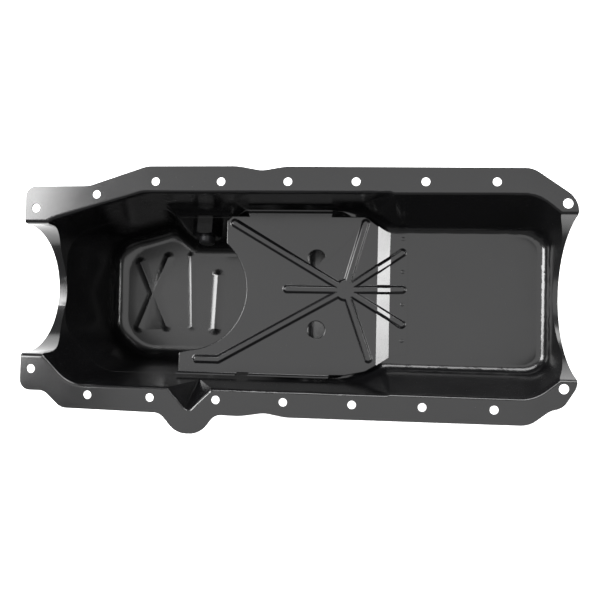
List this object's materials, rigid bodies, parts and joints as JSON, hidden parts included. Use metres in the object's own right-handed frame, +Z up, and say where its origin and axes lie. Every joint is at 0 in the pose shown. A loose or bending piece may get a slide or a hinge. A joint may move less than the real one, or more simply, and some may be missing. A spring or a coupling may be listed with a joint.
{
  "type": "engine oil pan",
  "caption": "Pressed-steel engine oil pan with a deep rear sump, shallow front, arched ends, flanged rim with bolt holes, ribbed windage tray and side drain plug.",
  "frame": {"origin": "centre of the twelve side-rail bolt holes, in the gasket plane at the top of the flange", "axes": "+X towards the engine's front, +Y towards the side with the drain plug, +Z up out of the open pan"},
  "size_m": [0.5702, 0.278, 0.19],
  "materials": {
    "pan_paint": "semi-gloss black",
    "tray_paint": "semi-gloss black",
    "plug_steel": "black oxide",
    "gasket": "matt"
  },
  "bodies": {
    "pan": {"pan_body": "pan_paint", "windage_tray": "tray_paint", "drain_nut": "tray_paint"},
    "gasket": {"drain_plug_gasket": "gasket"},
    "plug": {"drain_plug": "plug_steel"}
  },
  "joints": [
    {"name": "plug_travel", "type": "slide", "parent": "pan", "child": "gasket", "axis": [0, 0.9845, -0.1754], "range_m": [0, 0.0238]},
    {"name": "plug_turn", "type": "hinge", "parent": "gasket", "child": "plug", "pos_m": [-0.146, 0.08145, -0.112], "axis": [0, 0.9845, -0.1754], "range_deg": [0, 5400]}
  ],
  "couplings": [
    {"joint": "plug_turn", "follows": "plug_travel", "rad_per_m": 3957.9}
  ]
}
